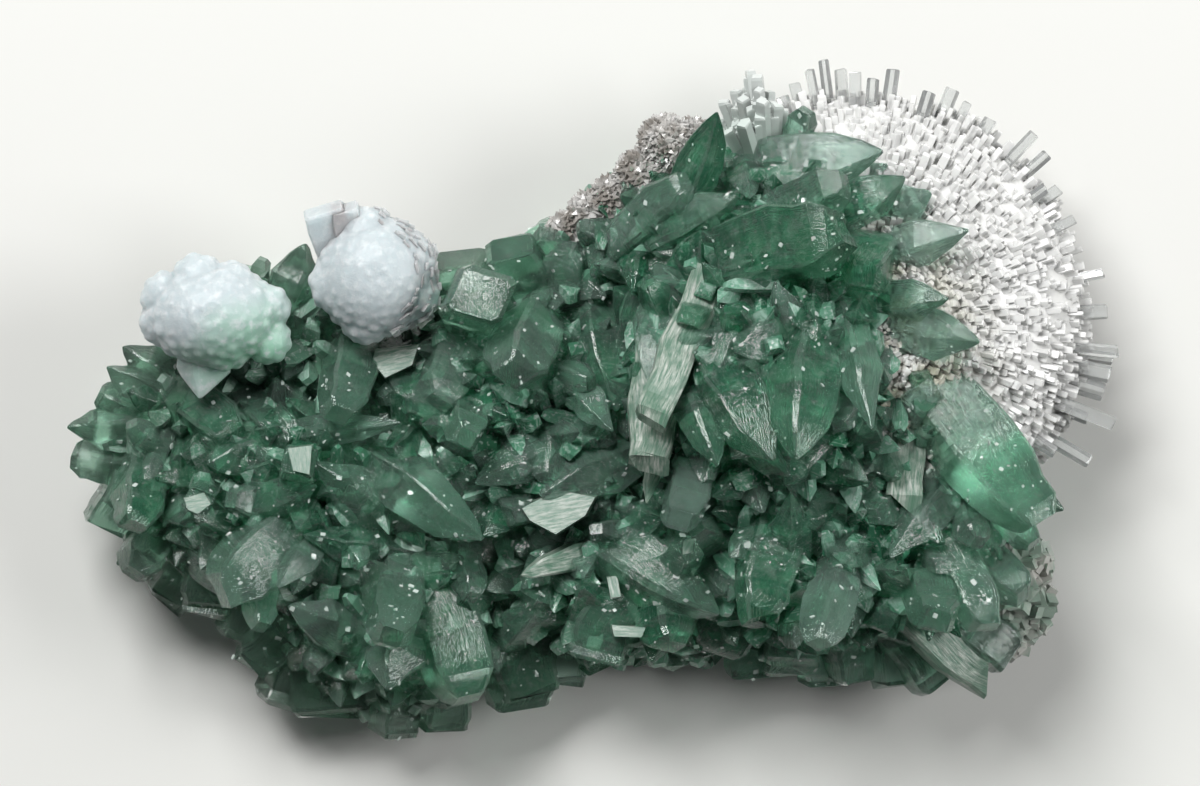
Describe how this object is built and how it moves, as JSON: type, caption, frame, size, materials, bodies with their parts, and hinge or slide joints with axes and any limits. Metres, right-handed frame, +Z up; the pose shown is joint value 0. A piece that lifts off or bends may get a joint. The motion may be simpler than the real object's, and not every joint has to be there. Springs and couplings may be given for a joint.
{
  "type": "green apophyllite crystal cluster",
  "caption": "Mineral specimen: pointed green apophyllite crystals with a ball of white needles, two white stilbite balls and a grey druse, lying on its flat cut back.",
  "frame": {"origin": "bottom centre of the bounding box, on the flat cut at the back", "axes": "+Z up from the cut towards the crystals' tips, +X to the right and +Y to the top of the face that is shown"},
  "size_m": [0.1326, 0.086, 0.0408],
  "materials": {
    "apophyllite": "glossy crystal faces, clear to milky green",
    "scolecite": "glassy needle tips, silky white inside",
    "stilbite": "pearly, cool white",
    "druse": "sparkling grey-brown druse",
    "crust": "dull pale crust with small sparkling faces"
  },
  "bodies": {
    "root": {"apophyllite_cluster": "apophyllite", "scolecite_spray": "scolecite", "scolecite_sheaf": "scolecite", "stilbite_ball_left": "stilbite", "stilbite_ball_right": "stilbite", "grey_druse": "druse", "pale_crust": "crust"}
  },
  "joints": []
}
